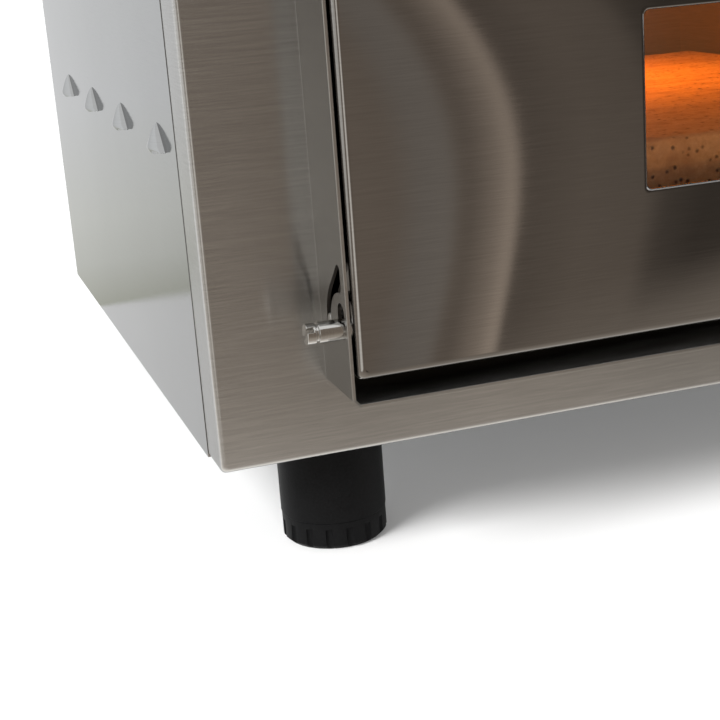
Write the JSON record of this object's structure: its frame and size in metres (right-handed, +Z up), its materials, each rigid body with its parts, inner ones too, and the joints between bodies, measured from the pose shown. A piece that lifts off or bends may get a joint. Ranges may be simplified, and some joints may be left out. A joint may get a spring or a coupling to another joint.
{
  "type": "electric pizza oven",
  "caption": "Countertop electric pizza oven in folded steel with a windowed drop-down door, baking stone, heating elements, side louvres, control column and levelling feet.",
  "frame": {"origin": "centre of the bounding box on the plane the feet stand on", "axes": "+X to the right seen from the front, +Y to the back, +Z up; the door faces -Y"},
  "size_m": [0.611, 0.5655, 0.3202],
  "materials": {
    "front_steel": "horizontal brushed grain",
    "case_steel": "fine even grain",
    "chamber_steel": "heat tinted",
    "stone": "coarse fired stone with pits",
    "element_tube": "dark oxide",
    "ceramic": "unglazed",
    "mineral_wool": "loose fibre board",
    "plated_steel": "zinc plated",
    "pin_steel": "turned",
    "copper_tube": "drawn copper",
    "black_plastic": "moulded, slightly grained",
    "red_plastic": "moulded",
    "pilot_lens": "clear tinted",
    "clear_glass": "clear",
    "bulb_glass": "frosted",
    "wire_sleeve": "woven sleeve"
  },
  "bodies": {
    "case": {"front_panel": "front_steel", "left_side_panel": "case_steel", "right_side_panel": "case_steel", "top_cover": "case_steel", "back_panel": "case_steel", "base_pan": "case_steel", "mouth_frame": "chamber_steel", "chamber_liner": "chamber_steel", "stone_rails": "chamber_steel", "baking_stone": "stone", "upper_element": "element_tube", "lower_element": "element_tube", "element_straps": "chamber_steel", "element_bushes": "ceramic", "wool_top": "mineral_wool", "wool_bottom": "mineral_wool", "wool_left": "mineral_wool", "wool_right": "mineral_wool", "wool_rear": "mineral_wool", "control_partition": "chamber_steel", "top_thermostat": "plated_steel", "bottom_thermostat": "plated_steel", "top_probe": "copper_tube", "bottom_probe": "copper_tube", "top_pilot": "pilot_lens", "bottom_pilot": "pilot_lens", "main_switch_body": "black_plastic", "lamp_switch_body": "black_plastic", "lamp_holder": "ceramic", "lamp_bulb": "bulb_glass", "lamp_glass": "clear_glass", "terminal_block": "ceramic", "wiring_loom": "wire_sleeve", "cable_gland": "black_plastic", "gland_nut": "black_plastic", "foot_sockets": "black_plastic", "case_screws": "plated_steel"},
    "door": {"door_skin": "front_steel", "door_inner_pan": "chamber_steel", "door_wool": "mineral_wool", "outer_glass": "clear_glass", "inner_glass": "clear_glass", "window_spacer": "chamber_steel", "hinge_blocks": "plated_steel", "left_hinge_pin": "pin_steel", "right_hinge_pin": "pin_steel", "stop_pegs": "plated_steel", "handle_bar": "black_plastic", "handle_posts": "plated_steel", "door_screws": "plated_steel"},
    "top_control": {"top_knob": "black_plastic", "top_shaft": "plated_steel"},
    "bottom_control": {"bottom_knob": "black_plastic", "bottom_shaft": "plated_steel"},
    "main_rocker": {"main_switch_rocker": "red_plastic"},
    "lamp_rocker": {"lamp_switch_rocker": "black_plastic"},
    "front_left_foot": {"front_left_ring": "black_plastic"},
    "front_right_foot": {"front_right_ring": "black_plastic"},
    "rear_left_foot": {"rear_left_ring": "black_plastic"},
    "rear_right_foot": {"rear_right_ring": "black_plastic"}
  },
  "joints": [
    {"name": "door_hinge", "type": "hinge", "parent": "case", "child": "door", "pos_m": [-0.034, -0.21975, 0.1175], "axis": [1, 0, 0], "range_deg": [0, 88]},
    {"name": "top_knob_turn", "type": "hinge", "parent": "case", "child": "top_control", "pos_m": [0.2405, -0.18925, 0.237], "axis": [0, 1, 0], "range_deg": [0, 300]},
    {"name": "bottom_knob_turn", "type": "hinge", "parent": "case", "child": "bottom_control", "pos_m": [0.2405, -0.18925, 0.162], "axis": [0, 1, 0], "range_deg": [0, 300]},
    {"name": "main_rocker_tilt", "type": "hinge", "parent": "case", "child": "main_rocker", "pos_m": [0.2185, -0.18525, 0.102], "axis": [1, 0, 0], "range_deg": [0, 20]},
    {"name": "lamp_rocker_tilt", "type": "hinge", "parent": "case", "child": "lamp_rocker", "pos_m": [0.2625, -0.18525, 0.102], "axis": [1, 0, 0], "range_deg": [0, 20]},
    {"name": "front_left_foot_screw", "type": "slide", "parent": "case", "child": "front_left_foot", "axis": [0, 0, -1], "range_m": [0, 0.012]},
    {"name": "front_right_foot_screw", "type": "slide", "parent": "case", "child": "front_right_foot", "axis": [0, 0, -1], "range_m": [0, 0.012]},
    {"name": "rear_left_foot_screw", "type": "slide", "parent": "case", "child": "rear_left_foot", "axis": [0, 0, -1], "range_m": [0, 0.012]},
    {"name": "rear_right_foot_screw", "type": "slide", "parent": "case", "child": "rear_right_foot", "axis": [0, 0, -1], "range_m": [0, 0.012]}
  ]
}
